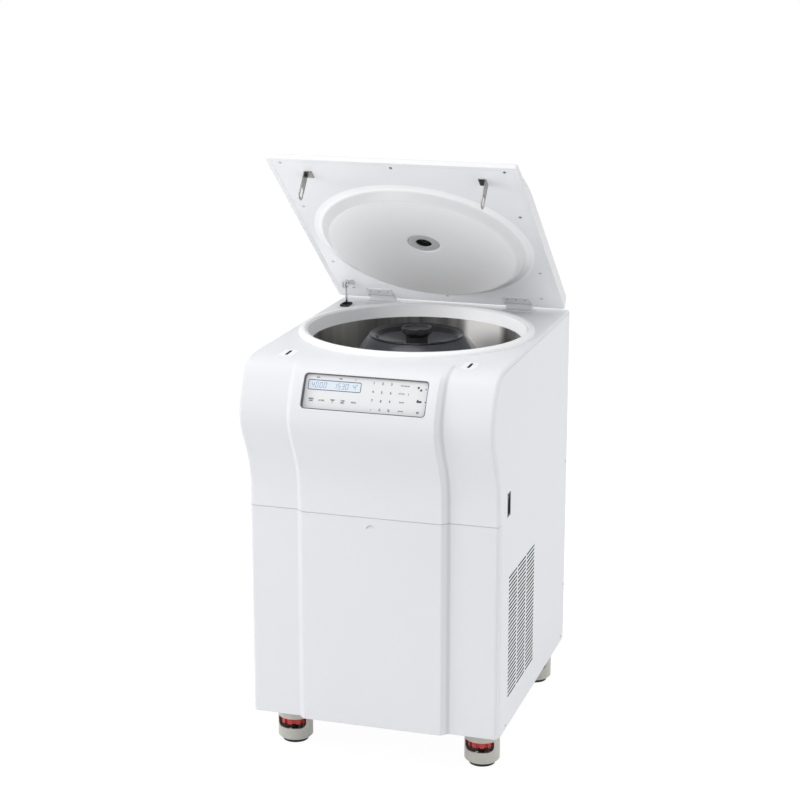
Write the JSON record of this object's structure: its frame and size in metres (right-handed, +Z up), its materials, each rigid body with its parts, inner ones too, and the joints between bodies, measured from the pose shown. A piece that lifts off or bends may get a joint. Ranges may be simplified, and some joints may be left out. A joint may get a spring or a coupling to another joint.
{
  "type": "floor-standing refrigerated centrifuge",
  "caption": "Refrigerated centrifuge with a lid held open on a gas strut, steel chamber, angle rotor, sloped keypad, vented side and levelling casters.",
  "frame": {"origin": "on the floor under the middle of the machine's overall box, front to back and side to side", "axes": "+Z up, +X the machine's right side seen from the front, +Y its back"},
  "size_m": [0.58, 0.7515, 1.3849],
  "materials": {
    "white_paint": "satin powder coat",
    "white_cover": "fine satin moulding",
    "white_collar": "smooth moulding",
    "port_white": "smooth",
    "grey_seal": "matt",
    "keypad_film": "screen-printed film",
    "display": "backlit display window",
    "stainless": "spun stainless",
    "copper": "drawn copper tube",
    "foam": "moulded insulating foam",
    "zinc_steel": "zinc plated",
    "catch_steel": "bright",
    "latch_body": "die cast",
    "shaft_steel": "ground",
    "rotor_black": "black anodised",
    "knob_black": "moulded",
    "motor_grey": "cast",
    "black_rubber": "matt",
    "pad_rubber": "matt",
    "black_plastic": "moulded",
    "black_paint": "gloss",
    "condenser_fins": "bare fins",
    "rod_chrome": "polished",
    "caster_cream": "glass-filled nylon",
    "dial_red": "moulded",
    "wheel_nylon": "cast nylon"
  },
  "bodies": {
    "cabinet": {"left_side_panel": "white_paint", "right_side_panel": "white_paint", "rear_panel": "white_paint", "hinge_brackets": "white_paint", "top_cover": "white_cover", "lower_front_panel": "white_cover", "latch_escutcheons": "white_cover", "control_tray": "white_cover", "chamber_ring": "white_collar", "ring_gasket": "grey_seal", "keypad_membrane": "keypad_film", "display_window": "display", "chamber_bowl": "stainless", "cooling_coil": "copper", "foam_jacket": "foam", "base_pan": "zinc_steel", "motor_shelf": "zinc_steel", "strut_anchor": "zinc_steel", "caster_plates": "zinc_steel", "latch_housings": "latch_body", "motor_body": "motor_grey", "motor_mounts": "black_rubber", "strut_grommet": "black_rubber", "switch_bezel": "black_plastic", "power_inlet": "black_plastic", "compressor": "black_paint", "condenser": "condenser_fins"},
    "lid": {"lid_shell": "white_cover", "lid_inner_panel": "white_paint", "lid_plug": "white_collar", "port_ring": "port_white", "lid_screws": "zinc_steel", "lid_fittings": "catch_steel", "hinge_leaves": "white_paint"},
    "strut_cylinder": {"strut_cylinder": "black_paint"},
    "strut_rod": {"strut_rod": "rod_chrome"},
    "rotor": {"rotor_body": "rotor_black", "drive_shaft": "shaft_steel"},
    "rotor_lid": {"rotor_lid": "rotor_black"},
    "rotor_knob": {"rotor_knob": "knob_black"},
    "latch_bolt_left": {"latch_bolt_left": "zinc_steel"},
    "latch_bolt_right": {"latch_bolt_right": "zinc_steel"},
    "switch_rocker": {"switch_rocker": "black_plastic"},
    "fan_rotor": {"fan_rotor": "black_plastic"},
    "caster_front_left": {"caster_housing_front_left": "caster_cream"},
    "wheel_front_left": {"caster_wheel_front_left": "wheel_nylon"},
    "dial_front_left": {"caster_dial_front_left": "dial_red"},
    "pad_front_left": {"caster_pad_front_left": "pad_rubber"},
    "caster_front_right": {"caster_housing_front_right": "caster_cream"},
    "wheel_front_right": {"caster_wheel_front_right": "wheel_nylon"},
    "dial_front_right": {"caster_dial_front_right": "dial_red"},
    "pad_front_right": {"caster_pad_front_right": "pad_rubber"},
    "caster_rear_left": {"caster_housing_rear_left": "caster_cream"},
    "wheel_rear_left": {"caster_wheel_rear_left": "wheel_nylon"},
    "dial_rear_left": {"caster_dial_rear_left": "dial_red"},
    "pad_rear_left": {"caster_pad_rear_left": "pad_rubber"},
    "caster_rear_right": {"caster_housing_rear_right": "caster_cream"},
    "wheel_rear_right": {"caster_wheel_rear_right": "wheel_nylon"},
    "dial_rear_right": {"caster_dial_rear_right": "dial_red"},
    "pad_rear_right": {"caster_pad_rear_right": "pad_rubber"}
  },
  "joints": [
    {"name": "lid", "type": "hinge", "parent": "cabinet", "child": "lid", "pos_m": [0, 0.335, 0.982], "axis": [1, 0, 0], "range_deg": [0, 38.98]},
    {"name": "strut_swing", "type": "hinge", "parent": "cabinet", "child": "strut_cylinder", "pos_m": [-0.25, 0.3, 0.85], "axis": [1, 0, 0], "range_deg": [0, 6.68]},
    {"name": "strut_stroke", "type": "slide", "parent": "strut_cylinder", "child": "strut_rod", "axis": [0, -0.226, 0.9741], "range_m": [-0.049, 0]},
    {"name": "rotor_spin", "type": "hinge", "parent": "cabinet", "child": "rotor", "pos_m": [0, 0.0437, 0.8], "axis": [0, 0, 1], "continuous": true},
    {"name": "rotor_lid_lift", "type": "slide", "parent": "rotor", "child": "rotor_lid", "axis": [0, 0, -1], "range_m": [-0.06, 0]},
    {"name": "rotor_knob_turn", "type": "hinge", "parent": "rotor_lid", "child": "rotor_knob", "pos_m": [0, 0.0437, 0.94], "axis": [0, 0, 1], "continuous": true},
    {"name": "latch_left", "type": "slide", "parent": "cabinet", "child": "latch_bolt_left", "axis": [1, 0, 0], "range_m": [0, 0.018]},
    {"name": "latch_right", "type": "slide", "parent": "cabinet", "child": "latch_bolt_right", "axis": [-1, 0, 0], "range_m": [0, 0.018]},
    {"name": "main_switch", "type": "hinge", "parent": "cabinet", "child": "switch_rocker", "pos_m": [0.284, -0.211, 0.6355], "axis": [0, -1, 0], "range_deg": [0, 14]},
    {"name": "fan_spin", "type": "hinge", "parent": "cabinet", "child": "fan_rotor", "pos_m": [0.227, -0.079, 0.316], "axis": [1, 0, 0], "continuous": true},
    {"name": "swivel_front_left", "type": "hinge", "parent": "cabinet", "child": "caster_front_left", "pos_m": [-0.2285, -0.1875, 0.096], "axis": [0, 0, 1], "continuous": true},
    {"name": "wheel_front_left", "type": "hinge", "parent": "caster_front_left", "child": "wheel_front_left", "pos_m": [-0.2285, -0.1655, 0.027], "axis": [1, 0, 0], "continuous": true},
    {"name": "dial_front_left", "type": "hinge", "parent": "caster_front_left", "child": "dial_front_left", "pos_m": [-0.2285, -0.1965, 0.055], "axis": [0, 0, 1], "range_deg": [0, 1440]},
    {"name": "foot_front_left", "type": "slide", "parent": "caster_front_left", "child": "pad_front_left", "axis": [0, 0, 1], "range_m": [0, 0.012]},
    {"name": "swivel_front_right", "type": "hinge", "parent": "cabinet", "child": "caster_front_right", "pos_m": [0.2285, -0.1875, 0.096], "axis": [0, 0, 1], "continuous": true},
    {"name": "wheel_front_right", "type": "hinge", "parent": "caster_front_right", "child": "wheel_front_right", "pos_m": [0.2285, -0.1655, 0.027], "axis": [1, 0, 0], "continuous": true},
    {"name": "dial_front_right", "type": "hinge", "parent": "caster_front_right", "child": "dial_front_right", "pos_m": [0.2285, -0.1965, 0.055], "axis": [0, 0, 1], "range_deg": [0, 1440]},
    {"name": "foot_front_right", "type": "slide", "parent": "caster_front_right", "child": "pad_front_right", "axis": [0, 0, 1], "range_m": [0, 0.012]},
    {"name": "swivel_rear_left", "type": "hinge", "parent": "cabinet", "child": "caster_rear_left", "pos_m": [-0.2285, 0.333, 0.096], "axis": [0, 0, 1], "continuous": true},
    {"name": "wheel_rear_left", "type": "hinge", "parent": "caster_rear_left", "child": "wheel_rear_left", "pos_m": [-0.2285, 0.355, 0.027], "axis": [1, 0, 0], "continuous": true},
    {"name": "dial_rear_left", "type": "hinge", "parent": "caster_rear_left", "child": "dial_rear_left", "pos_m": [-0.2285, 0.324, 0.055], "axis": [0, 0, 1], "range_deg": [0, 1440]},
    {"name": "foot_rear_left", "type": "slide", "parent": "caster_rear_left", "child": "pad_rear_left", "axis": [0, 0, 1], "range_m": [0, 0.012]},
    {"name": "swivel_rear_right", "type": "hinge", "parent": "cabinet", "child": "caster_rear_right", "pos_m": [0.2285, 0.333, 0.096], "axis": [0, 0, 1], "continuous": true},
    {"name": "wheel_rear_right", "type": "hinge", "parent": "caster_rear_right", "child": "wheel_rear_right", "pos_m": [0.2285, 0.355, 0.027], "axis": [1, 0, 0], "continuous": true},
    {"name": "dial_rear_right", "type": "hinge", "parent": "caster_rear_right", "child": "dial_rear_right", "pos_m": [0.2285, 0.324, 0.055], "axis": [0, 0, 1], "range_deg": [0, 1440]},
    {"name": "foot_rear_right", "type": "slide", "parent": "caster_rear_right", "child": "pad_rear_right", "axis": [0, 0, 1], "range_m": [0, 0.012]}
  ],
  "couplings": [
    {"joint": "strut_swing", "follows": "lid", "ratio": 0.16377},
    {"joint": "strut_stroke", "follows": "lid", "m_per_rad": -0.069905},
    {"joint": "foot_front_left", "follows": "dial_front_left", "m_per_rad": 0.00047746},
    {"joint": "foot_front_right", "follows": "dial_front_right", "m_per_rad": 0.00047746},
    {"joint": "foot_rear_left", "follows": "dial_rear_left", "m_per_rad": 0.00047746},
    {"joint": "foot_rear_right", "follows": "dial_rear_right", "m_per_rad": 0.00047746}
  ]
}
